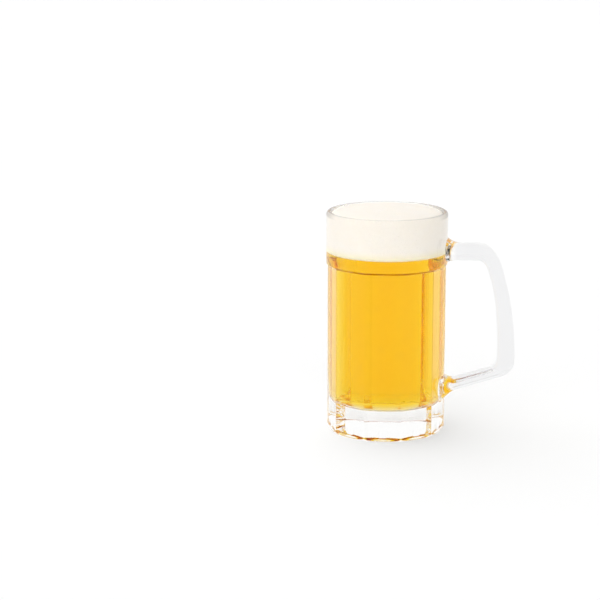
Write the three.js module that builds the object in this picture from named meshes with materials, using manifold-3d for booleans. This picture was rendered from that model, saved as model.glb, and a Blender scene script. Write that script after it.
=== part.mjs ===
// A half-litre pressed-glass beer mug, filled with pale beer and a head of foam.
// Units are millimetres, +Z is up, the mug's axis is Z, its foot stands on Z = 0 and its handle points along +X.

import * as THREE from "three";
import { mergeVertices } from "three/addons/utils/BufferGeometryUtils.js";
import Module from "manifold-3d";

const wasm = await Module();
wasm.setup();

// Glass vessel: a round collar above a panelled barrel with a thick base.
const mugHeight = 150;
const collarDiameter = 82;
const collarHeight = 36;
const collarEdgeRadius = 1.6;
const barrelDiameter = 80; // across the panel edges
const panelCount = 10;
const heelRun = 1.2; // how far the foot is drawn in from the panel edges
const heelRise = 2.2; // how high the rounded heel reaches
const rimWall = 4.2; // wall at the lip, and the width of its round edge
const panelWall = 3; // thinnest wall, at the middle of a panel just below the collar
const footWall = 4.2; // wall at the middle of a panel, down by the base
const baseThickness = 18;
const bowlRadius = 6; // inside corner between the wall and the floor of the vessel

// Glass handle: a bar drawn from the collar, out to the grip and back to the barrel.
const handleWidth = 16; // across the bar, along Y
const handleSquareness = 2.8; // section of the bar: 2 is an oval, and a larger value nears a rectangle
const upperArmRise = 3.4; // from the collar's lower edge up to the underside of the upper arm
const upperArmThickness = 11.4;
const upperArmLength = 20.5; // straight stretch from the collar to the top corner
const lowerArmHeight = 33; // underside of the lower arm, halfway along it, above the table
const lowerArmThickness = 7.8;
const lowerArmSlope = 0.32; // rise of the lower arm for each millimetre outwards
const gripReach = 46.4; // from the collar out to the grip's outer face, where it stands furthest out
const gripThickness = 12.2; // low on the grip
const gripHeadThickness = 8.8; // at the top of the grip
const gripLean = 9.5; // how much nearer the top of the grip is than its foot
const upperBend = 16; // reach of the bend from the upper arm into the grip
const lowerBend = 9.6; // reach of the bend from the grip into the lower arm
const rootFlare = 10; // how far each root spreads inside the wall, beyond its arm
const rootFlareLength = 7.5; // how far along the arm, outside the wall, that spread dies out
const flareEase = 2; // how near the wall the spread turns steep
const rootSpread = 6; // how far each root spreads inside the wall, to either side

// Drink
const freeboard = 2; // from the rim down to the edge of the foam
const foamDepth = 25.5; // at its edge
const foamCrown = 4; // how much the foam stands higher in the middle

const contactGap = 0.3; // left between two pieces that touch, so that each stays a solid of its own

// Facets of the round surfaces
const roundSegments = 60;
const arcSteps = 6;
const sectionPoints = 20;

// Sizes that follow from those above
const collarRadius = collarDiameter / 2;
const collarBottom = mugHeight - collarHeight;
const barrelRadius = barrelDiameter / 2;
const barrelApothem = barrelRadius * Math.cos(Math.PI / panelCount);
const lipRadius = rimWall / 2;
const mouthRadius = collarRadius - rimWall;
const neckRadius = barrelApothem - panelWall;
const floorRadius = barrelApothem - footWall;
const drinkRadius = Math.max(mouthRadius, neckRadius);
const foamEdge = mugHeight - freeboard;
const beerLevel = foamEdge - foamDepth;

const glass = new THREE.MeshStandardMaterial({
  color: 0xf4f7f6,
  roughness: 0.03,
  metalness: 0,
  transparent: true,
  opacity: 0.35,
});
const paleBeer = new THREE.MeshStandardMaterial({
  color: 0xf8b814,
  roughness: 0.05,
  metalness: 0,
  transparent: true,
  opacity: 0.8,
});
const froth = new THREE.MeshStandardMaterial({ color: 0xfbf3ea, roughness: 0.85, metalness: 0 });

// Points of an elliptical arc about a centre, from one angle to another, both ends included.
function arc(centreR, centreZ, radiusR, radiusZ, fromDegrees, toDegrees, steps = arcSteps) {
  const points = [];
  for (let i = 0; i <= steps; i++) {
    const a = THREE.MathUtils.degToRad(fromDegrees + ((toDegrees - fromDegrees) * i) / steps);
    points.push(new THREE.Vector2(centreR + radiusR * Math.cos(a), centreZ + radiusZ * Math.sin(a)));
  }
  return points;
}

// A closed geometry as a solid for joining and cutting, with shared vertices merged and empty triangles left out.
function solidOf(geometry) {
  const bare = geometry.clone();
  for (const name of Object.keys(bare.attributes)) {
    if (name !== "position") bare.deleteAttribute(name);
  }
  const merged = mergeVertices(bare, 1e-4);
  const corners = merged.index.array;
  const triVerts = [];
  for (let i = 0; i < corners.length; i += 3) {
    const [a, b, c] = corners.subarray(i, i + 3);
    if (a !== b && b !== c && c !== a) triVerts.push(a, b, c);
  }
  return new wasm.Manifold(
    new wasm.Mesh({
      numProp: 3,
      vertProperties: new Float32Array(merged.attributes.position.array),
      triVerts: new Uint32Array(triVerts),
    }),
  );
}

// A profile of (radius, height) points, from the axis at the bottom to the axis at the top, turned about Z.
// The first edge of a turning with few segments lies on +X.
function turned(profile, segments = roundSegments) {
  return solidOf(new THREE.LatheGeometry(profile, segments, Math.PI / 2).rotateX(Math.PI / 2));
}

function meshOf(name, solid, material) {
  const cut = solid.getMesh();
  const geometry = new THREE.BufferGeometry();
  geometry.setAttribute("position", new THREE.BufferAttribute(cut.vertProperties, 3));
  geometry.setIndex(new THREE.BufferAttribute(cut.triVerts, 1));
  geometry.computeVertexNormals();
  const mesh = new THREE.Mesh(geometry, material);
  mesh.name = name;
  return mesh;
}

// Outside of the vessel, grown by a margin: the panelled barrel and the round collar as one solid.
function vesselOutside(margin = 0) {
  const grown = margin / Math.cos(Math.PI / panelCount);
  const footRadius = barrelRadius - heelRun + grown;
  const barrel = turned(
    [
      new THREE.Vector2(0, -margin),
      ...arc(footRadius, heelRise, heelRun, heelRise + margin, -90, 0),
      new THREE.Vector2(barrelRadius + grown, collarBottom + collarEdgeRadius),
      new THREE.Vector2(0, collarBottom + collarEdgeRadius),
    ],
    panelCount,
  );
  const radius = collarRadius + margin;
  const edge = collarEdgeRadius + margin;
  const collar = turned([
    new THREE.Vector2(0, collarBottom - margin),
    ...arc(radius - edge, collarBottom - margin + edge, edge, edge, -90, 0),
    ...arc(radius - lipRadius, mugHeight - lipRadius, lipRadius, lipRadius, 0, 90),
    new THREE.Vector2(0, mugHeight),
  ]);
  return barrel.add(collar);
}

// Inside of the vessel, drawn in by a margin, and carried on above the lip, whose round edge it leaves standing.
function vesselInside(margin = 0) {
  const lipCentre = mugHeight - lipRadius;
  const bowl = bowlRadius - margin;
  const lip = lipRadius + margin;
  const mouthEdge = mouthRadius + lipRadius;
  return turned([
    new THREE.Vector2(0, baseThickness + margin),
    ...arc(floorRadius - bowlRadius, baseThickness + bowlRadius, bowl, bowl, -90, 0),
    new THREE.Vector2(neckRadius - margin, collarBottom),
    ...arc(mouthEdge, lipCentre, lip, lip, 180, 90),
    new THREE.Vector2(mouthEdge, mugHeight + rimWall),
    new THREE.Vector2(0, mugHeight + rimWall),
  ]);
}

function glassBody() {
  return vesselOutside().subtract(vesselInside());
}

// The handle's two edges in side view, as curves in X and Z from the upper root to the lower root.
// Both have the same stretches: root, upper arm, top bend, grip, lower bend, lower arm, root.
// The roots run on into the wall, where the vessel cuts them off.
function handleEdges() {
  const at = (x, z) => new THREE.Vector2(x, z);
  const line = (...points) => new THREE.LineCurve(...points);
  const bend = (...points) => new THREE.QuadraticBezierCurve(...points);
  const sweep = (...points) => new THREE.CubicBezierCurve(...points);

  const rootX = floorRadius;
  const upperUnder = collarBottom + upperArmRise;
  const upperTop = upperUnder + upperArmThickness;
  const upperFlareX = collarRadius + rootFlareLength;
  const bendX = collarRadius + upperArmLength;
  const outerX = collarRadius + gripReach;
  const innerX = outerX - gripThickness;
  const headX = outerX - gripLean;
  const innerHeadX = headX - gripHeadThickness;
  const head = upperTop - upperBend;
  const innerHead = head - upperBend / 3;
  const lean = (height) => (height * gripLean) / (2 * upperBend); // sideways, over a height at the head

  const armMiddleX = (barrelRadius + outerX) / 2;
  const onUnder = (x, lift = 0) => at(x, lowerArmHeight + (x - armMiddleX) * lowerArmSlope + lift);
  const onTop = (x, lift = 0) => onUnder(x, lowerArmThickness * Math.hypot(1, lowerArmSlope) + lift);
  const lowerFlareX = barrelRadius + rootFlareLength;
  const innerLowerBend = lowerBend * 0.7;
  const foot = onTop(innerX).y; // where the inside of the grip would meet the lower arm

  const outer = [
    bend(at(rootX, upperTop + rootFlare), at(collarRadius + flareEase, upperTop), at(upperFlareX, upperTop)),
    line(at(upperFlareX, upperTop), at(bendX, upperTop)),
    sweep(
      at(bendX, upperTop),
      at(bendX + upperBend / 2, upperTop),
      at(headX - lean(upperBend / 2), head + upperBend / 2),
      at(headX, head),
    ),
    sweep(
      at(headX, head),
      at(headX + lean(upperBend), head - upperBend),
      at(outerX, foot + 2 * upperBend),
      at(outerX, foot + lowerBend / 2),
    ),
    bend(at(outerX, foot + lowerBend / 2), onUnder(outerX), onUnder(outerX - lowerBend)),
    line(onUnder(outerX - lowerBend), onUnder(lowerFlareX)),
    bend(onUnder(lowerFlareX), onUnder(barrelRadius + flareEase), onUnder(rootX, -rootFlare)),
  ];
  const inner = [
    bend(at(rootX, collarBottom), at(collarRadius + flareEase, upperUnder), at(upperFlareX, upperUnder)),
    line(at(upperFlareX, upperUnder), at(bendX, upperUnder)),
    bend(
      at(bendX, upperUnder),
      at(innerHeadX - lean(upperUnder - innerHead), upperUnder),
      at(innerHeadX, innerHead),
    ),
    sweep(
      at(innerHeadX, innerHead),
      at(innerHeadX + lean(upperBend), innerHead - upperBend),
      at(innerX, foot + 2 * upperBend),
      at(innerX, foot + innerLowerBend),
    ),
    bend(at(innerX, foot + innerLowerBend), at(innerX, foot), onTop(innerX - innerLowerBend)),
    line(onTop(innerX - innerLowerBend), onTop(lowerFlareX)),
    bend(onTop(lowerFlareX), onTop(barrelRadius + flareEase), onTop(rootX, rootFlare)),
  ];
  return { outer, inner };
}

// One cross-section of the handle: a rounded bar between a point on its inner edge and one on its outer edge.
function barSection(innerPoint, outerPoint, width) {
  const middle = innerPoint.clone().lerp(outerPoint, 0.5);
  const half = outerPoint.clone().sub(middle);
  const rounded = (value) => Math.sign(value) * Math.abs(value) ** (2 / handleSquareness);
  return Array.from({ length: sectionPoints }, (_, i) => {
    const turn = (2 * Math.PI * i) / sectionPoints;
    const across = middle.clone().addScaledVector(half, rounded(Math.cos(turn)));
    return new THREE.Vector3(across.x, (rounded(Math.sin(turn)) * width) / 2, across.y);
  });
}

// A closed skin over rings of equally many points, with a flat end on the first and the last ring.
function skinOver(rings) {
  const count = rings[0].length;
  const corners = [];
  for (let r = 0; r + 1 < rings.length; r++) {
    for (let i = 0; i < count; i++) {
      const a = r * count + i;
      const b = r * count + ((i + 1) % count);
      corners.push(a, b + count, b, a, a + count, b + count);
    }
  }
  const last = (rings.length - 1) * count;
  for (let i = 1; i + 1 < count; i++) {
    corners.push(0, i, i + 1, last, last + i + 1, last + i);
  }
  const geometry = new THREE.BufferGeometry().setFromPoints(rings.flat());
  geometry.setIndex(corners);
  return geometry;
}

// The bar is cut to the vessel's outside, so that both roots seat on the glass that they are fused to.
function handle() {
  const { outer, inner } = handleEdges();
  const lastStretch = outer.length - 1;
  const rings = [];
  outer.forEach((edge, stretch) => {
    for (let i = stretch === 0 ? 0 : 1; i <= arcSteps; i++) {
      const t = i / arcSteps;
      const intoRoot = stretch === 0 ? 1 - t : stretch === lastStretch ? t : 0;
      const width = handleWidth + 2 * rootSpread * intoRoot ** 2;
      rings.push(barSection(inner[stretch].getPoint(t), edge.getPoint(t), width));
    }
  });
  return solidOf(skinOver(rings)).subtract(vesselOutside(contactGap));
}

// What the vessel holds between two heights, with a top that stands higher in the middle by its crown.
function contents(bottom, top, crown) {
  const slice = turned([
    new THREE.Vector2(0, bottom),
    new THREE.Vector2(drinkRadius, bottom),
    ...arc(0, top, drinkRadius, crown, 0, 90),
  ]);
  return vesselInside(contactGap).intersect(slice);
}

const mug = new THREE.Group();
mug.name = "beer_mug";
mug.add(
  meshOf("glass_body", glassBody(), glass),
  meshOf("handle", handle(), glass),
  meshOf("beer", contents(0, beerLevel, 0), paleBeer),
  meshOf("foam_head", contents(beerLevel, foamEdge, foamCrown), froth),
);

export default mug;
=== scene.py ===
"""A pressed-glass beer mug, filled with pale beer under a head of foam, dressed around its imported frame."""

import logging
import math
from abc import ABC, abstractmethod
from collections.abc import Callable, Sequence
from dataclasses import dataclass, replace
from enum import Enum
from typing import Any

import bmesh
import bpy
from mathutils import Euler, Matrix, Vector, noise


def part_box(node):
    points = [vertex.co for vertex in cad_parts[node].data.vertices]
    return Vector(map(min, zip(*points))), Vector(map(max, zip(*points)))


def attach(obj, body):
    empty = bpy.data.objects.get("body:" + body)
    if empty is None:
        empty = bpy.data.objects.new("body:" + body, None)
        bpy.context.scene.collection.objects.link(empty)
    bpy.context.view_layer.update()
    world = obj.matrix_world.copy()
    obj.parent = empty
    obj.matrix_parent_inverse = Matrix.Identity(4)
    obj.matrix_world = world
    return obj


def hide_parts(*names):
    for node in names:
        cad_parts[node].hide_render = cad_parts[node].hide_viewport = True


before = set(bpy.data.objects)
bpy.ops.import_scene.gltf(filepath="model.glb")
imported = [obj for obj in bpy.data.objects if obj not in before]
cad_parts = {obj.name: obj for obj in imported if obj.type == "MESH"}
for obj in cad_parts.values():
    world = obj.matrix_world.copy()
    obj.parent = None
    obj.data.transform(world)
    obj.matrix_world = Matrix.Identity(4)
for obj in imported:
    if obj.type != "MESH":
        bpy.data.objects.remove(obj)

MM = 0.001
ROOT_BODY = "root"
WELD = 0.002 * MM
SLIVER = 0.001 * MM

# Sockets of the Mix node that carry colours, which share their names with its sockets for numbers
MIX_FIRST, MIX_SECOND, MIX_RESULT = 6, 7, 2

Colour = tuple[float, float, float]
Point = tuple[float, float]
Range = tuple[float, float]
Point3 = tuple[float, float, float]
log = logging.getLogger("beer_mug")


class Join(Enum):
    """Ways of combining two closed meshes."""

    UNITE = "UNION"
    CUT = "DIFFERENCE"


class GlassSlot(Enum):
    """Material slots of the glass: its free surface, and the inner wall that the drink touches."""

    FREE = 0
    WETTED = 1


# Shader expressions


class Value:
    """A number in a shader, which adds Math nodes where Python expressions use it."""

    def __init__(self, recipe: "Recipe", socket: bpy.types.NodeSocket) -> None:
        """Wraps a socket.

        Args:
            recipe: The node tree that the socket belongs to.
            socket: An output socket that carries a number.
        """
        self.recipe = recipe
        self.socket = socket

    def _math(self, operation: str, first: Any, second: Any) -> "Value":
        """Adds one Math node.

        Args:
            operation: The node's operation.
            first: Its first operand.
            second: Its second operand.

        Returns:
            The node's result.
        """
        made = self.recipe.node("ShaderNodeMath", {"operation": operation}, {0: first, 1: second})
        return Value(self.recipe, made.outputs[0])

    def __add__(self, other: Any) -> "Value":
        """This value plus another."""
        return self._math("ADD", self, other)

    __radd__ = __add__

    def __mul__(self, other: Any) -> "Value":
        """This value times another."""
        return self._math("MULTIPLY", self, other)

    __rmul__ = __mul__

    def __sub__(self, other: Any) -> "Value":
        """This value minus another."""
        return self._math("SUBTRACT", self, other)

    def __rsub__(self, other: Any) -> "Value":
        """Another value minus this one."""
        return self._math("SUBTRACT", other, self)

    def __truediv__(self, other: Any) -> "Value":
        """This value divided by another."""
        return self._math("DIVIDE", self, other)

    def __pow__(self, other: Any) -> "Value":
        """This value to a power."""
        return self._math("POWER", self, other)

    def at_most(self, other: Any) -> "Value":
        """The smaller of this value and another."""
        return self._math("MINIMUM", self, other)

    def at_least(self, other: Any) -> "Value":
        """The larger of this value and another."""
        return self._math("MAXIMUM", self, other)

    def between(self, low: float, high: float) -> "Value":
        """How far this value lies between two numbers, from 0 to 1."""
        return ((self - low) / (high - low)).at_least(0.0).at_most(1.0)


class Recipe:
    """The node tree of one finish, filled node by node."""

    def __init__(self, tree: bpy.types.NodeTree) -> None:
        """Starts an empty tree.

        Args:
            tree: The tree of a material or a world, whose nodes are removed.
        """
        self.tree = tree
        tree.nodes.clear()

    def node(
        self,
        kind: str,
        settings: dict[str, Any] | None = None,
        inputs: dict[int | str, Any] | None = None,
    ) -> bpy.types.Node:
        """Adds a node.

        Args:
            kind: The node's type.
            settings: Its properties, which are set first.
            inputs: Values or links of its sockets, by name or number.

        Returns:
            The node.
        """
        made = self.tree.nodes.new(kind)
        for name, setting in (settings or {}).items():
            setattr(made, name, setting)
        for key, given in (inputs or {}).items():
            socket = made.inputs[key]
            source = given.socket if isinstance(given, Value) else given
            if isinstance(source, bpy.types.NodeSocket):
                self.tree.links.new(source, socket)
            else:
                socket.default_value = source
        return made

    def value(self, made: bpy.types.Node, output: int | str = 0) -> Value:
        """One output of a node, for use in expressions."""
        return Value(self, made.outputs[output])

    def place(self) -> bpy.types.NodeSocket:
        """The surface point in the piece's own coordinates, in metres."""
        return self.node("ShaderNodeTexCoord").outputs["Object"]

    def height(self) -> Value:
        """The surface point's height above the table, in metres."""
        split = self.node("ShaderNodeSeparateXYZ", None, {0: self.place()})
        return self.value(split, "Z")

    def grain(self, size: float, detail: float = 2.0, roughness: float = 0.5) -> Value:
        """Soft noise from 0 to 1.

        Args:
            size: Width of its blotches, in metres.
            detail: How many finer layers it has.
            roughness: How strong the finer layers are.

        Returns:
            The noise's value.
        """
        inputs = {"Vector": self.place(), "Scale": 1 / size, "Detail": detail, "Roughness": roughness}
        return self.value(self.node("ShaderNodeTexNoise", None, inputs), 0)

    def cells(self, size: float, softness: float = 0.35) -> Value:
        """Distance to the nearest of many scattered points, about 0 to 1, for bubbles.

        Args:
            size: Usual distance between the points, in metres.
            softness: How far neighbouring cells run into each other.

        Returns:
            The distance, as a share of that size.
        """
        settings = {"feature": "SMOOTH_F1"}
        inputs = {"Vector": self.place(), "Scale": 1 / size, "Smoothness": softness}
        return self.value(self.node("ShaderNodeTexVoronoi", settings, inputs), "Distance")

    def blend(self, share: Value, first: Any, second: Any) -> bpy.types.NodeSocket:
        """Mixes two colours.

        Args:
            share: Share of the second colour.
            first: Colour, or colour socket, at share 0.
            second: Colour, or colour socket, at share 1.

        Returns:
            The mixed colour's socket.
        """
        made = self.node("ShaderNodeMix", {"data_type": "RGBA"}, {0: share})
        for number, given in ((MIX_FIRST, first), (MIX_SECOND, second)):
            socket = made.inputs[number]
            if isinstance(given, bpy.types.NodeSocket):
                self.tree.links.new(given, socket)
            else:
                socket.default_value = (*given, 1.0)
        return made.outputs[MIX_RESULT]

    def bump(self, relief: Value, depth: float) -> bpy.types.NodeSocket:
        """Turns a relief into surface normals.

        Args:
            relief: Height from 0 to 1.
            depth: What a relief of 1 stands for, in metres.

        Returns:
            The normal's socket.
        """
        made = self.node("ShaderNodeBump", None, {"Strength": 1.0, "Distance": depth, "Height": relief})
        return made.outputs[0]


@dataclass(frozen=True)
class Finish(ABC):
    """A surface finish, which makes one material."""

    name: str

    def material(self) -> bpy.types.Material:
        """Builds the material.

        Returns:
            A new material with this finish.
        """
        made = bpy.data.materials.new(self.name)
        made.use_nodes = True
        recipe = Recipe(made.node_tree)
        output = recipe.node("ShaderNodeOutputMaterial")
        self.mix(recipe, output)
        return made

    @abstractmethod
    def mix(self, recipe: Recipe, output: bpy.types.Node) -> None:
        """Fills the material's node tree.

        Args:
            recipe: The tree.
            output: Its output node.
        """


@dataclass(frozen=True)
class PressedGlass(Finish):
    """Clear glass with the faint waves that a mould leaves, a breath of smudges, painted shade on the handle
    and a painted dark edge on the lip where it is seen edge-on.
    """

    collar_radius: float
    height: float
    tint: Colour = (0.99, 0.99, 0.985)
    # The handle's colour is painted shade: the same glass made darker on the handle, standing in for darker
    # surroundings that it refracts
    handle_painted_shade: Colour = (0.885, 0.885, 0.89)
    handle_shade_gap: float = 1 * MM
    handle_shade_fade: float = 6 * MM
    # The lip's colour is painted shade: a dark edge where the lip is seen edge-on, standing in for dark
    # surroundings seen through it
    lip_painted_shade: Colour = (0.2, 0.18, 0.17)
    lip_shade_depth: float = 3.5 * MM
    lip_shade_fade: float = 1.2 * MM
    lip_shade_facing: Range = (0.45, 0.85)
    index: float = 1.5
    smudge: float = 0.02
    smudge_size: float = 34 * MM
    smudge_detail: float = 3.0
    smudge_range: Range = (0.52, 0.8)
    wave_size: float = 26 * MM
    wave_depth: float = 0.05 * MM
    shine: Colour = (0.45, 0.45, 0.45)

    def mix(self, recipe: Recipe, output: bpy.types.Node) -> None:
        """Fills the material's node tree.

        Args:
            recipe: The tree.
            output: Its output node.
        """
        smudges = recipe.grain(self.smudge_size, self.smudge_detail).between(*self.smudge_range)
        split = recipe.node("ShaderNodeSeparateXYZ", None, {0: recipe.place()})
        x, y, z = (recipe.value(split, axis) for axis in "XYZ")
        reach = (x * x + y * y) ** 0.5
        # Painted shade on the handle, which fades in beyond the collar
        handle_shade_from = self.collar_radius + self.handle_shade_gap
        handle_shade = reach.between(handle_shade_from, handle_shade_from + self.handle_shade_fade)
        clear = recipe.blend(handle_shade, self.tint, self.handle_painted_shade)
        # Painted shade on the lip, darker where its surface is seen edge-on
        facing = recipe.value(recipe.node("ShaderNodeLayerWeight"), "Facing")
        lip_shade_from = self.height - self.lip_shade_depth
        lip = z.between(lip_shade_from, lip_shade_from + self.lip_shade_fade) * facing.between(*self.lip_shade_facing)
        glass = recipe.node(
            "ShaderNodeBsdfPrincipled",
            None,
            {
                "Base Color": recipe.blend(lip, clear, self.lip_painted_shade),
                "Roughness": smudges * self.smudge,
                "IOR": self.index,
                "Transmission Weight": 1.0,
                "Specular Tint": (*self.shine, 1.0),
                "Normal": recipe.bump(recipe.grain(self.wave_size, detail=0.0), self.wave_depth),
            },
        )
        recipe.tree.links.new(glass.outputs[0], output.inputs["Surface"])


@dataclass(frozen=True)
class PaleBeer(Finish):
    """Clear golden lager, whose colour deepens with the depth of drink that light crosses."""

    index: float = 1.34
    pass_colour: Colour = (0.995, 0.82, 0.17)
    pass_depth: float = 22 * MM
    haze_low: Colour = (1.0, 0.985, 0.95)
    haze_high: Colour = (1.0, 1.0, 1.0)
    cloud_size: float = 18 * MM
    cloud_range: Range = (0.3, 0.7)
    shine: Colour = (0.0, 0.0, 0.0)

    def mix(self, recipe: Recipe, output: bpy.types.Node) -> None:
        """Fills the material's node tree.

        Args:
            recipe: The tree.
            output: Its output node.
        """
        cloud = recipe.grain(self.cloud_size).between(*self.cloud_range)
        liquid = recipe.node(
            "ShaderNodeBsdfPrincipled",
            None,
            {
                "Base Color": recipe.blend(cloud, self.haze_low, self.haze_high),
                "Roughness": 0.0,
                "IOR": self.index,
                "Transmission Weight": 1.0,
                "Specular Tint": (*self.shine, 1.0),
            },
        )
        density = -math.log(min(self.pass_colour)) / self.pass_depth
        kept = tuple(1 + math.log(share) / (density * self.pass_depth) for share in self.pass_colour)
        body = recipe.node("ShaderNodeVolumeAbsorption", None, {"Color": (*kept, 1.0), "Density": density})
        recipe.tree.links.new(liquid.outputs[0], output.inputs["Surface"])
        recipe.tree.links.new(body.outputs[0], output.inputs["Volume"])


@dataclass(frozen=True)
class Froth(Finish):
    """Fine white foam with open bubbles, which takes the beer's colour where it meets it, with painted warm
    light from the beer there as well.
    """

    beer_level: float
    white: Colour = (0.985, 0.905, 0.82)
    cream: Colour = (0.975, 0.885, 0.785)
    # Near the beer the foam takes the beer's own colour, and this colour is also a painted warm glow of light
    # that the beer would bounce onto the foam
    soaked_and_beer_glow: Colour = (0.98, 0.87, 0.6)
    soak_height: float = 6 * MM
    soak_depth: float = 0.4 * MM
    ragged_size: float = 2.2 * MM
    ragged_height: float = 1.6 * MM
    mottle_size: float = 9 * MM
    mottle_detail: float = 3.0
    mottle_grit: float = 0.6
    mottle_range: Range = (0.35, 0.75)
    mottle_share: float = 0.35
    bubble: float = 0.9 * MM
    coarse_bubble: float = 2.6 * MM
    bubble_share: float = 0.12
    bubble_depth: float = 0.35 * MM
    fine_share: float = 0.6
    roughness: float = 0.62
    roughness_spread: float = 0.2
    index: float = 1.33
    scatter: float = 0.35
    scatter_radius: Colour = (1.0, 0.9, 0.75)
    scatter_depth: float = 1.6 * MM

    def mix(self, recipe: Recipe, output: bpy.types.Node) -> None:
        """Fills the material's node tree.

        Args:
            recipe: The tree.
            output: Its output node.
        """
        fine = recipe.cells(self.bubble)
        coarse = recipe.cells(self.coarse_bubble)
        blotches = recipe.grain(self.mottle_size, self.mottle_detail, self.mottle_grit)
        mottle = blotches.between(*self.mottle_range)
        ragged = recipe.grain(self.ragged_size) * self.ragged_height
        # Share of the beer-coloured foam near the beer, partly the foam's own colour and partly painted glow
        # from the beer
        wet = 1 - (recipe.height() - ragged).between(
            self.beer_level - self.soak_depth, self.beer_level + self.soak_height
        )
        creamy = mottle * self.mottle_share + (1 - fine) * self.bubble_share
        pale = recipe.blend(creamy, self.white, self.cream)
        relief = fine * self.fine_share + coarse * (1 - self.fine_share)
        froth = recipe.node(
            "ShaderNodeBsdfPrincipled",
            None,
            {
                "Base Color": recipe.blend(wet * wet, pale, self.soaked_and_beer_glow),
                "Roughness": self.roughness + mottle * self.roughness_spread,
                "IOR": self.index,
                "Subsurface Weight": self.scatter,
                "Subsurface Radius": self.scatter_radius,
                "Subsurface Scale": self.scatter_depth,
                "Normal": recipe.bump(relief, self.bubble_depth),
            },
        )
        recipe.tree.links.new(froth.outputs[0], output.inputs["Surface"])


# Meshes


def arc(centre: Point, radii: Point, start: float, end: float, steps: int) -> list[Point]:
    """Points of an elliptical arc, both ends included.

    Args:
        centre: Its centre, as (radius, height).
        radii: Its half axes along radius and height.
        start: First angle, in degrees from the outward direction towards up.
        end: Last angle.
        steps: How many stretches it has.

    Returns:
        The points, as (radius, height).
    """
    turns = (math.radians(start + (end - start) * i / steps) for i in range(steps + 1))
    return [(centre[0] + radii[0] * math.cos(t), centre[1] + radii[1] * math.sin(t)) for t in turns]


def stretch(first: Point, last: Point, steps: int) -> list[Point]:
    """Evenly spaced points on a straight line, without its first point.

    Args:
        first: Where the line starts.
        last: Where it ends.
        steps: How many stretches it has.

    Returns:
        The points.
    """
    start, end = Vector(first), Vector(last)
    return [tuple(start.lerp(end, i / steps)) for i in range(1, steps + 1)]


def turned(profile: Sequence[Point], steps: int) -> bmesh.types.BMesh:
    """Turns a profile about the vertical axis.

    Args:
        profile: Points as (radius, height), from the axis round the section and back to the axis.
        steps: How many steps a full turn has.

    Returns:
        A closed mesh with its faces pointing out.
    """
    bm = bmesh.new()
    verts = [bm.verts.new((radius, 0.0, height)) for radius, height in profile]
    edges = [bm.edges.new(pair) for pair in zip(verts, verts[1:])]
    bmesh.ops.spin(
        bm,
        geom=[*verts, *edges],
        cent=(0.0, 0.0, 0.0),
        axis=(0.0, 0.0, 1.0),
        angle=math.tau,
        steps=steps,
        use_merge=True,
    )
    bmesh.ops.remove_doubles(bm, verts=bm.verts[:], dist=WELD)
    bmesh.ops.dissolve_degenerate(bm, edges=bm.edges[:], dist=SLIVER)
    bmesh.ops.recalc_face_normals(bm, faces=bm.faces[:])
    return bm


def as_object(bm: bmesh.types.BMesh, name: str, *materials: bpy.types.Material) -> bpy.types.Object:
    """Puts a mesh into the scene, shaded smooth, and frees the bmesh.

    Args:
        bm: The mesh, in the frame's coordinates.
        name: The object's name.
        materials: Its material slots in order.

    Returns:
        The object, at the origin.
    """
    mesh = bpy.data.meshes.new(name)
    bm.to_mesh(mesh)
    bm.free()
    mesh.shade_smooth()
    for material in materials:
        mesh.materials.append(material)
    made = bpy.data.objects.new(name, mesh)
    bpy.context.scene.collection.objects.link(made)
    return made


def combine(kept: bpy.types.Object, tool: bpy.types.Object, way: Join) -> None:
    """Joins a closed mesh to another or cuts it with another, and removes the tool.

    Args:
        kept: The object that keeps the result.
        tool: The object that is joined on or cut away.
        way: How they are combined.
    """
    modifier = kept.modifiers.new(way.name, "BOOLEAN")
    modifier.operation = way.value
    modifier.solver = "EXACT"
    modifier.object = tool
    graph = bpy.context.evaluated_depsgraph_get()
    made = bpy.data.meshes.new_from_object(kept.evaluated_get(graph))
    kept.modifiers.clear()
    before, kept.data = kept.data, made
    bpy.data.meshes.remove(before)
    bpy.data.objects.remove(tool)


# The mug


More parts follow.
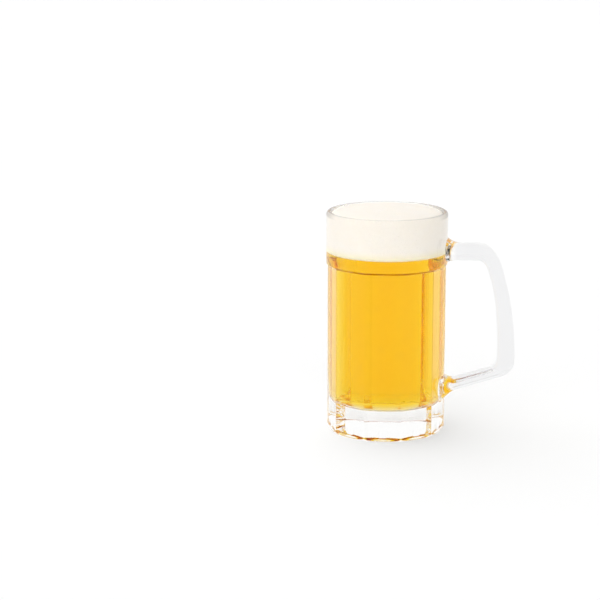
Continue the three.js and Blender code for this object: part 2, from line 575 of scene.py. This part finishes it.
@dataclass(frozen=True)
class MugSizes:
    """Sizes that the glass and the drink share, in metres."""

    height: float
    collar_radius: float
    beer_level: float
    foam_top: float
    collar_height: float = 36 * MM
    shoulder_rise: float = 1.8 * MM
    barrel_radius: float = 40 * MM
    panels: int = 10
    edge_round: float = 1.2 * MM
    heel_round: float = 2.7 * MM
    heel_turn: float = math.radians(50)
    foot_edge: float = 0.3 * MM
    heel_panels: float = 0.3
    foot_ring: float = 4 * MM
    foot_recess: float = 0.8 * MM
    recess_run: float = 2.4 * MM
    rim_wall: float = 4.2 * MM
    panel_wall: float = 3 * MM
    foot_wall: float = 4.2 * MM
    base_thickness: float = 17.6 * MM
    floor_sphere: float = 300 * MM
    floor_corner: float = 6 * MM

    @classmethod
    def from_frame(cls) -> "MugSizes":
        """Reads the outer sizes and the drink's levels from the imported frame."""
        body_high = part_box("glass_body")[1]
        return cls(body_high.z, body_high.x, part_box("beer")[1].z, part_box("foam_head")[1].z)

    @property
    def collar_bottom(self) -> float:
        """Height of the collar's lower edge."""
        return self.height - self.collar_height

    @property
    def half_panel(self) -> float:
        """Half the angle that one panel takes up."""
        return math.pi / self.panels

    @property
    def apothem(self) -> float:
        """Distance from the axis to the middle of a panel."""
        return self.barrel_radius * math.cos(self.half_panel)

    @property
    def heel_run(self) -> float:
        """How far the heel draws the foot in."""
        return self.heel_round + (self.foot_edge - self.heel_round) * math.cos(self.heel_turn)

    @property
    def heel_rise(self) -> float:
        """How high the heel reaches."""
        return self.foot_edge + (self.heel_round - self.foot_edge) * math.sin(self.heel_turn)

    @property
    def lip_radius(self) -> float:
        """Radius of the lip's round edge."""
        return self.rim_wall / 2

    @property
    def wall_middle(self) -> float:
        """A radius that lies inside the glass all the way from the base to the lip."""
        return self.apothem - self.panel_wall / 4

    def inside(self, top: float, grown: float = 0.0, steps: int = 18) -> list[Point]:
        """Profile of the vessel's inside, from the middle of its floor up to a height.

        Args:
            top: Where the profile stops, at the lip's centre at most.
            grown: How far the profile lies outside the real surface.
            steps: Steps of each arc and of each stretch of the wall.

        Returns:
            The points, from the axis outwards and up.
        """
        wall_radius = self.apothem - self.foot_wall
        neck = (self.apothem - self.panel_wall + grown, self.collar_bottom)
        mouth = (self.collar_radius - self.rim_wall + grown, self.height - self.lip_radius)
        middle = self.base_thickness + self.floor_sphere
        corner_out = wall_radius - self.floor_corner
        corner_down = math.sqrt((self.floor_sphere - self.floor_corner) ** 2 - corner_out**2)
        tilt = math.degrees(math.atan2(corner_out, corner_down))
        sphere, corner = self.floor_sphere + grown, self.floor_corner + grown
        points = arc((0.0, middle), (sphere, sphere), -90, tilt - 90, steps)
        points += arc((corner_out, middle - corner_down), (corner, corner), tilt - 90, 0, steps)[1:]
        for goal in (neck, mouth):
            last = points[-1]
            if last[1] >= top:
                break
            share = min(1.0, (top - last[1]) / (goal[1] - last[1]))
            reached = tuple(Vector(last).lerp(Vector(goal), share))
            points += stretch(last, reached, steps)
        return points

    def ease(self, turn: float) -> float:
        """Crowds evenly spaced angles towards the panel edges, where the surface bends.

        Args:
            turn: An angle about the axis, in radians.

        Returns:
            The shifted angle.
        """
        middle = (math.floor(turn / (2 * self.half_panel)) + 0.5) * 2 * self.half_panel
        return middle + self.half_panel * math.sin((turn - middle) / self.half_panel * math.pi / 2)

    def panel_reach(self, turn: float) -> float:
        """Distance from the axis to the panelled outside, as a share of the barrel's radius.

        Args:
            turn: An angle about the axis, in radians, where the first panel edge is at 0.

        Returns:
            The share, which is largest at the panel edges.
        """
        off_edge = abs((turn + self.half_panel) % (2 * self.half_panel) - self.half_panel)
        centre = (self.apothem - self.edge_round) / math.cos(self.half_panel)
        blend_end = math.atan2(
            self.edge_round * math.sin(self.half_panel),
            centre + self.edge_round * math.cos(self.half_panel),
        )
        if off_edge < blend_end:
            across = centre * math.sin(off_edge)
            reach = centre * math.cos(off_edge) + math.sqrt(self.edge_round**2 - across**2)
        else:
            reach = self.apothem / math.cos(self.half_panel - off_edge)
        return reach / self.barrel_radius


@dataclass
class GlassHandle:
    """The handle's bar, between an outer and an inner edge in side view."""

    sizes: MugSizes
    width: float = 16 * MM
    squareness: float = 2.8
    upper_arm_rise: float = 3.4 * MM
    upper_arm: float = 11.4 * MM
    upper_arm_length: float = 20.5 * MM
    lower_arm_height: float = 33 * MM
    lower_arm: float = 7.8 * MM
    lower_arm_slope: float = 0.32
    grip_reach: float = 46.4 * MM
    grip: float = 12.2 * MM
    grip_head: float = 8.8 * MM
    grip_lean: float = 9.5 * MM
    upper_bend: float = 16 * MM
    lower_bend: float = 9.6 * MM
    inner_head_share: float = 1 / 3
    inner_bend_share: float = 0.7
    root_flare: float = 10 * MM
    root_flare_length: float = 7.5 * MM
    flare_ease: float = 2 * MM
    root_spread: float = 6 * MM
    steps: int = 16
    section_points: int = 40

    def edges(self) -> tuple[list[list[Vector]], list[list[Vector]]]:
        """Control points of both edges, one list for each stretch from the upper to the lower root.

        Returns:
            The outer edge's stretches and the inner edge's, as Bezier control points in X and Z.
        """
        s = self.sizes
        root_x = s.apothem - s.foot_wall
        upper_under = s.collar_bottom + self.upper_arm_rise
        upper_top = upper_under + self.upper_arm
        upper_flare_x = s.collar_radius + self.root_flare_length
        bend_x = s.collar_radius + self.upper_arm_length
        outer_x = s.collar_radius + self.grip_reach
        inner_x = outer_x - self.grip
        head_x = outer_x - self.grip_lean
        inner_head_x = head_x - self.grip_head
        head = upper_top - self.upper_bend
        inner_head = head - self.upper_bend * self.inner_head_share
        collar_ease = s.collar_radius + self.flare_ease
        barrel_ease = s.barrel_radius + self.flare_ease
        lower_flare_x = s.barrel_radius + self.root_flare_length
        inner_bend = self.lower_bend * self.inner_bend_share
        arm_middle = (s.barrel_radius + outer_x) / 2
        arm_rise = self.lower_arm * math.hypot(1, self.lower_arm_slope)

        def at(x: float, z: float) -> Vector:
            """A point in side view."""
            return Vector((x, z))

        def lean(height: float) -> float:
            """How far the grip leans sideways over a height at its head."""
            return height * self.grip_lean / (2 * self.upper_bend)

        def under(x: float, lift: float = 0.0) -> Vector:
            """A point on the lower arm's underside."""
            return at(x, self.lower_arm_height + (x - arm_middle) * self.lower_arm_slope + lift)

        def over(x: float, lift: float = 0.0) -> Vector:
            """A point on the lower arm's top."""
            return under(x, arm_rise + lift)

        foot = over(inner_x).y
        outer = [
            [
                at(root_x, upper_top + self.root_flare),
                at(collar_ease, upper_top),
                at(upper_flare_x, upper_top),
            ],
            [at(upper_flare_x, upper_top), at(bend_x, upper_top)],
            [
                at(bend_x, upper_top),
                at(bend_x + self.upper_bend / 2, upper_top),
                at(head_x - lean(self.upper_bend / 2), head + self.upper_bend / 2),
                at(head_x, head),
            ],
            [
                at(head_x, head),
                at(head_x + lean(self.upper_bend), head - self.upper_bend),
                at(outer_x, foot + 2 * self.upper_bend),
                at(outer_x, foot + self.lower_bend / 2),
            ],
            [at(outer_x, foot + self.lower_bend / 2), under(outer_x), under(outer_x - self.lower_bend)],
            [under(outer_x - self.lower_bend), under(lower_flare_x)],
            [under(lower_flare_x), under(barrel_ease), under(root_x, -self.root_flare)],
        ]
        inner = [
            [at(root_x, s.collar_bottom), at(collar_ease, upper_under), at(upper_flare_x, upper_under)],
            [at(upper_flare_x, upper_under), at(bend_x, upper_under)],
            [
                at(bend_x, upper_under),
                at(inner_head_x - lean(upper_under - inner_head), upper_under),
                at(inner_head_x, inner_head),
            ],
            [
                at(inner_head_x, inner_head),
                at(inner_head_x + lean(self.upper_bend), inner_head - self.upper_bend),
                at(inner_x, foot + 2 * self.upper_bend),
                at(inner_x, foot + inner_bend),
            ],
            [at(inner_x, foot + inner_bend), at(inner_x, foot), over(inner_x - inner_bend)],
            [over(inner_x - inner_bend), over(lower_flare_x)],
            [over(lower_flare_x), over(barrel_ease), over(root_x, self.root_flare)],
        ]
        return outer, inner

    @staticmethod
    def on_curve(controls: Sequence[Vector], share: float) -> Vector:
        """A point on a Bezier curve of any degree.

        Args:
            controls: Its control points.
            share: How far along it, from 0 to 1.

        Returns:
            The point.
        """
        points = list(controls)
        while len(points) > 1:
            points = [a.lerp(b, share) for a, b in zip(points, points[1:])]
        return points[0]

    def sections(self) -> list[tuple[Vector, Vector, float]]:
        """Places the bar's cross-sections.

        Returns:
            Inner point, outer point and width of each cross-section, from root to root.
        """
        outer, inner = self.edges()
        found = []
        for number, (out_curve, in_curve) in enumerate(zip(outer, inner)):
            for i in range(0 if number == 0 else 1, self.steps + 1):
                share = i / self.steps
                into_root = {0: 1 - share, len(outer) - 1: share}.get(number, 0.0)
                width = self.width + 2 * self.root_spread * into_root**2
                found.append((self.on_curve(in_curve, share), self.on_curve(out_curve, share), width))
        return found

    def build(self, *materials: bpy.types.Material) -> bpy.types.Object:
        """Draws the bar as a ring that is extruded from section to section.

        Args:
            materials: Its material slots.

        Returns:
            The bar, with both ends reaching into the wall.
        """
        bm = bmesh.new()
        turn = bm.verts.layers.float.new("turn")
        ring = bmesh.ops.create_circle(bm, segments=self.section_points, radius=1.0)["verts"]
        for vert in ring:
            vert[turn] = math.atan2(vert.co.y, vert.co.x)
        loop = bm.edges[:]
        rounded = 2 / self.squareness
        for number, (low, high, width) in enumerate(self.sections()):
            if number:
                grown = bmesh.ops.extrude_edge_only(bm, edges=loop)["geom"]
                ring = [e for e in grown if isinstance(e, bmesh.types.BMVert)]
                loop = [e for e in grown if isinstance(e, bmesh.types.BMEdge)]
                loop = [e for e in loop if all(v in ring for v in e.verts)]
            middle, half = (low + high) / 2, (high - low) / 2
            for vert in ring:
                across, along = math.cos(vert[turn]), math.sin(vert[turn])
                spot = middle + half * math.copysign(abs(across) ** rounded, across)
                side = math.copysign(abs(along) ** rounded, along) * width / 2
                vert.co = (spot.x, side, spot.y)
        bmesh.ops.holes_fill(bm, edges=[e for e in bm.edges if e.is_boundary])
        bmesh.ops.recalc_face_normals(bm, faces=bm.faces[:])
        return as_object(bm, "handle_bar", *materials)


@dataclass
class MugGlass:
    """The glass: a vessel with a round collar, a panelled barrel and a thick base, and its fused handle."""

    sizes: MugSizes
    handle: GlassHandle
    steps_per_panel: int = 24
    recess_steps: int = 6
    ring_steps: int = 3
    edge_steps: int = 4
    heel_steps: int = 10
    barrel_steps: int = 20
    collar_steps: int = 8
    lip_steps: int = 18
    crease: float = math.radians(28)

    def finishes(self) -> tuple[PressedGlass, PressedGlass]:
        """Finishes of the slots, in order.

        Returns:
            The free glass, and the wall against the drink, which has no shine.
        """
        free = PressedGlass("clear_pressed_glass", self.sizes.collar_radius, self.sizes.height)
        return free, replace(free, name="glass_against_drink", shine=(0.0, 0.0, 0.0))

    def profile(self) -> list[Point]:
        """Half section of the vessel: its foot, outside, lip and inside.

        Returns:
            The points, from axis to axis.
        """
        s = self.sizes
        foot = (s.barrel_radius - s.heel_run, 0.0)
        shoulder = s.collar_bottom + s.shoulder_rise / 2
        lip = (s.collar_radius - s.lip_radius, s.height - s.lip_radius)
        ring = (foot[0] - s.foot_ring, 0.0)
        points = [(0.0, s.foot_recess)]
        points += stretch(points[0], (ring[0] - s.recess_run, s.foot_recess), self.recess_steps)
        points += self.soft_step(points[-1], ring, upright=False)
        points += stretch(ring, foot, self.ring_steps)
        turn = -math.degrees(s.heel_turn)
        points += arc((foot[0], s.foot_edge), (s.foot_edge, s.foot_edge), -90, turn, self.edge_steps)[1:]
        heel = (s.barrel_radius - s.heel_round, s.heel_rise)
        points += arc(heel, (s.heel_round, s.heel_round), turn, 0, self.heel_steps)[1:]
        barrel_top = (s.barrel_radius, shoulder - s.shoulder_rise)
        points += stretch(points[-1], barrel_top, self.barrel_steps)
        points += self.soft_step(points[-1], (s.collar_radius, shoulder), upright=True)
        points += stretch(points[-1], (s.collar_radius, lip[1]), self.collar_steps)
        points += arc(lip, (s.lip_radius, s.lip_radius), 0, 180, self.lip_steps)[1:]
        inside = s.inside(s.beer_level) + s.inside(lip[1])
        below = sorted({p for p in inside if p[1] <= lip[1]}, key=lambda p: (-p[1], -p[0]))
        return points + below[1:]

    @staticmethod
    def soft_step(first: Point, last: Point, upright: bool, steps: int = 10) -> list[Point]:
        """An S-shaped step between two parallel surfaces.

        Args:
            first: Where it starts.
            last: Where it ends.
            upright: Whether both surfaces stand upright, rather than lie level.
            steps: How many stretches it has.

        Returns:
            The points, without the first one.
        """
        found = []
        for i in range(1, steps + 1):
            share = i / steps
            slow = (1 - math.cos(share * math.pi)) / 2
            out, up = (slow, share) if upright else (share, slow)
            found.append((first[0] + (last[0] - first[0]) * out, first[1] + (last[1] - first[1]) * up))
        return found

    def shape_panels(self, bm: bmesh.types.BMesh) -> None:
        """Draws the round outside in to flat panels, and fades that out across the shoulder.

        Args:
            bm: The turned vessel.
        """
        s = self.sizes
        step = s.collar_radius - s.barrel_radius
        for vert in bm.verts:
            radius, turn = math.hypot(vert.co.x, vert.co.y), math.atan2(vert.co.y, vert.co.x)
            turn = s.ease(turn)
            outside = vert.co.z < s.base_thickness / 2 or radius > s.wall_middle
            panelled = outside and vert.co.z < s.collar_bottom + s.shoulder_rise
            if panelled:
                share = max(0.0, min(1.0, (s.collar_radius - radius) / step))
                rise = max(0.0, min(1.0, vert.co.z / s.heel_rise))
                share *= s.heel_panels + (1 - s.heel_panels) * rise
                radius *= 1 + share * (s.panel_reach(turn) - 1)
            vert.co.x, vert.co.y = radius * math.cos(turn), radius * math.sin(turn)

    def build(self) -> bpy.types.Object:
        """Turns the vessel, fuses the handle to it and dresses both.

        Returns:
            The glass as one closed mesh.
        """
        s = self.sizes
        materials = [finish.material() for finish in self.finishes()]
        bm = turned(self.profile(), s.panels * self.steps_per_panel)
        self.shape_panels(bm)
        glass = as_object(bm, "mug_glass", *materials)
        bar = self.handle.build(*materials)
        core = turned(
            [(0.0, 0.0), (s.wall_middle, 0.0), (s.wall_middle, s.height), (0.0, s.height)],
            s.panels * self.steps_per_panel,
        )
        combine(bar, as_object(core, "core", *materials), Join.CUT)
        combine(glass, bar, Join.UNITE)
        self.dress(glass.data)
        glass.visible_shadow = False
        glass.visible_diffuse = False
        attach(glass, ROOT_BODY)
        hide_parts("glass_body", "handle")
        return glass

    def dress(self, mesh: bpy.types.Mesh) -> None:
        """Gives the wall below the beer's surface its own slot and keeps real creases sharp.

        Args:
            mesh: The fused glass.
        """
        s = self.sizes
        for face in mesh.polygons:
            middle = face.center
            inner = math.hypot(middle.x, middle.y) < s.wall_middle and middle.z > s.base_thickness / 2
            wet = inner and middle.z < s.beer_level
            face.material_index = (GlassSlot.WETTED if wet else GlassSlot.FREE).value
        mesh.shade_smooth()
        mesh.set_sharp_from_angle(angle=self.crease)


@dataclass
class Beer:
    """The beer, which fills the vessel from its floor up to the foam."""

    sizes: MugSizes
    finish: PaleBeer = PaleBeer("pale_lager")
    into_wall: float = 0.12 * MM
    steps: int = 200
    top_steps: int = 8

    def build(self) -> bpy.types.Object:
        """Turns the beer's body, a hair larger than the space, so that no air lies between it and the glass.

        Returns:
            The beer.
        """
        s = self.sizes
        profile = s.inside(s.beer_level, self.into_wall)
        profile += stretch(profile[-1], (0.0, s.beer_level), self.top_steps)
        beer = as_object(turned(profile, self.steps), "beer_fill", self.finish.material())
        beer.visible_diffuse = False
        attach(beer, ROOT_BODY)
        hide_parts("beer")
        return beer


@dataclass
class Foam:
    """The head of foam, flush with the glass and gently lumpy on top."""

    sizes: MugSizes
    finish: Froth
    into_wall: float = 0.1 * MM
    into_beer: float = 0.35 * MM
    crown: float = 2.8 * MM
    edge_round: float = 0.8 * MM
    lump: float = 9 * MM
    lump_depth: float = 0.35 * MM
    steps: int = 220
    floor_steps: int = 10
    edge_steps: int = 6
    dome_steps: int = 60

    def profile(self) -> list[Point]:
        """Half section of the foam.

        Returns:
            The points, from the middle of its underside to the middle of its top.
        """
        s = self.sizes
        edge = s.foam_top - self.crown
        wall = [p for p in s.inside(edge, self.into_wall) if p[1] > s.beer_level]
        low = (wall[0][0], s.beer_level - self.into_beer)
        points = [(0.0, low[1])] + stretch((0.0, low[1]), low, self.floor_steps) + wall
        rim = (points[-1][0] - self.edge_round, edge - self.edge_round)
        points = [p for p in points if p[1] < rim[1]]
        points += arc(rim, (self.edge_round, self.edge_round), 0, 90, self.edge_steps)
        top = arc((0.0, points[-1][1]), (points[-1][0], self.crown), 0, 90, self.dome_steps)
        return points + top[1:]

    def build(self) -> bpy.types.Object:
        """Turns the foam and roughens its top.

        Returns:
            The foam.
        """
        bm = turned(self.profile(), self.steps)
        s = self.sizes
        low = s.foam_top - self.crown - self.edge_round
        for vert in bm.verts:
            share = max(0.0, min(1.0, (vert.co.z - low) / self.edge_round))
            if share > 0:
                swell = noise.noise(vert.co / self.lump) * self.lump_depth
                inward = 1 - (math.hypot(vert.co.x, vert.co.y) / s.collar_radius) ** 2
                vert.co.z += share * inward * swell
        foam = as_object(bm, "foam_froth", self.finish.material())
        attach(foam, ROOT_BODY)
        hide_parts("foam_head")
        return foam


# The studio


@dataclass(frozen=True)
class SoftSun:
    """A broad distant lamp, whose light every piece shades alike."""

    name: str
    away: Point3
    power: float
    spread: float

    def hang(self) -> None:
        """Adds the lamp to the scene, aimed at the mug."""
        data = bpy.data.lights.new(self.name, "SUN")
        data.energy = self.power
        data.angle = self.spread
        data.cycles.use_multiple_importance_sampling = False
        lamp = bpy.data.objects.new(self.name, data)
        lamp.location = self.away
        lamp.rotation_euler = (-Vector(self.away)).to_track_quat("-Z", "Y").to_euler()
        bpy.context.scene.collection.objects.link(lamp)


@dataclass
class Studio:
    """A pale floor, pale walls all round under a dimmer ceiling, and two soft lamps."""

    floor_half: float = 12.0
    floor_drop: float = 0.1 * MM
    floor_colour: Colour = (0.95, 0.95, 0.95)
    floor_lift: float = 0.05
    glass_bounces: int = 40
    glossy_bounces: int = 24
    diffuse_bounces: int = 12
    ceiling: float = 0.8
    ceiling_from: float = math.radians(42)
    ceiling_to: float = math.radians(68)
    wall_light: float = 0.8
    wall_fade: float = 0.1
    wall_from: float = math.radians(28)
    wall_to: float = math.radians(52)
    key: SoftSun = SoftSun("key_light", (-0.2, -0.88, 0.6), 0.9, math.radians(75))
    top: SoftSun = SoftSun("top_light", (-0.34, 0.3, 1.0), 1.67, math.radians(75))

    def trace(self) -> None:
        """Lets light pass through all the surfaces of the glass and the drink, and keeps it sharp."""
        cycles = bpy.context.scene.cycles
        cycles.max_bounces = self.glass_bounces
        cycles.transmission_bounces = self.glass_bounces
        cycles.glossy_bounces = self.glossy_bounces
        cycles.diffuse_bounces = self.diffuse_bounces
        cycles.blur_glossy = 0.0

    @staticmethod
    def paths(recipe: Recipe) -> tuple[Value, Value]:
        """Tells apart the ways that light takes to the camera.

        Args:
            recipe: The tree that asks.

        Returns:
            1 for what the camera sees directly, and for what it sees in or through glass, each 0 otherwise.
        """
        path = recipe.node("ShaderNodeLightPath")
        kinds = ("Is Camera Ray", "Is Glossy Ray", "Is Transmission Ray")
        camera, glossy, through = (recipe.value(path, kind) for kind in kinds)
        return camera, (glossy + through).at_most(1.0)

    def surround(self) -> None:
        """Makes the world pale walls under a dimmer ceiling, which give light and show in glass."""
        world = bpy.data.worlds.new("white_surround")
        world.use_nodes = True
        bpy.context.scene.world = world
        recipe = Recipe(world.node_tree)
        camera, glass = self.paths(recipe)
        way = recipe.node("ShaderNodeTexCoord").outputs["Generated"]
        rise = recipe.value(recipe.node("ShaderNodeSeparateXYZ", None, {0: way}), "Z")
        overhead = rise.between(math.sin(self.ceiling_from), math.sin(self.ceiling_to))
        shown = 1 - overhead * (1 - self.ceiling)
        above = rise.between(math.sin(self.wall_from), math.sin(self.wall_to))
        given = (1 - above * (1 - self.wall_fade)) * self.wall_light
        strength = camera + glass * shown + (1 - camera - glass) * given
        sky = recipe.node("ShaderNodeBackground", None, {"Color": (1.0, 1.0, 1.0, 1.0), "Strength": strength})
        output = recipe.node("ShaderNodeOutputWorld")
        recipe.tree.links.new(sky.outputs[0], output.inputs["Surface"])

    def floor(self) -> bpy.types.Object:
        """Lays the pale floor, which keeps the mug's shadow.

        Returns:
            The floor.
        """
        bm = bmesh.new()
        bmesh.ops.create_grid(bm, x_segments=1, y_segments=1, size=self.floor_half)
        bmesh.ops.translate(bm, verts=bm.verts[:], vec=(0.0, 0.0, -self.floor_drop))
        material = bpy.data.materials.new("pale_floor")
        material.use_nodes = True
        recipe = Recipe(material.node_tree)
        matte = recipe.node("ShaderNodeBsdfDiffuse", None, {"Color": (*self.floor_colour, 1.0)})
        camera, glass = self.paths(recipe)
        glow = recipe.node("ShaderNodeEmission", None, {"Strength": (camera + glass) * self.floor_lift})
        both = recipe.node("ShaderNodeAddShader", None, {0: matte.outputs[0], 1: glow.outputs[0]})
        output = recipe.node("ShaderNodeOutputMaterial")
        recipe.tree.links.new(both.outputs[0], output.inputs["Surface"])
        floor = as_object(bm, "floor", material)
        return floor

    def light(self) -> None:
        """Hangs the lamps."""
        for lamp in (self.key, self.top):
            lamp.hang()


@dataclass
class PhotoCamera:
    """The photograph's camera: where it stands from the mug, and how it is aimed."""

    distance: float = 1351.3 * MM
    height: float = 380.5 * MM
    round_mug: float = math.radians(2.9)
    pitch: float = math.radians(12.2)
    aim_left: float = math.radians(2.486)
    lens: float = 122.2
    sensor: float = 36.0
    sight: float = 100.0

    def build(self) -> bpy.types.Object:
        """Sets the camera up and makes it the scene's camera.

        Returns:
            The camera.
        """
        data = bpy.data.cameras.new("photo_camera")
        data.lens = self.lens
        data.sensor_width = self.sensor
        data.clip_end = self.sight
        camera = bpy.data.objects.new("photo_camera", data)
        camera.location = (
            self.distance * math.sin(self.round_mug),
            -self.distance * math.cos(self.round_mug),
            self.height,
        )
        camera.rotation_euler = Euler((math.pi / 2 - self.pitch, 0.0, self.round_mug + self.aim_left))
        bpy.context.scene.collection.objects.link(camera)
        bpy.context.scene.camera = camera
        return camera


def main() -> None:
    """Builds the studio and the mug, piece by piece."""
    logging.basicConfig(level=logging.INFO, format="%(name)s: %(message)s")
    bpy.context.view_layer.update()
    bpy.context.scene.view_settings.view_transform = "Standard"
    studio = Studio()
    studio.trace()
    studio.surround()
    studio.floor()
    studio.light()
    PhotoCamera().build()
    sizes = MugSizes.from_frame()
    makers: list[Callable[[], bpy.types.Object]] = [
        MugGlass(sizes, GlassHandle(sizes)).build,
        Beer(sizes).build,
        Foam(sizes, Froth("beer_froth", sizes.beer_level)).build,
    ]
    for make in makers:
        piece = make()
        log.info("%s: %d faces", piece.name, len(piece.data.polygons))


if __name__ == "__main__":
    main()
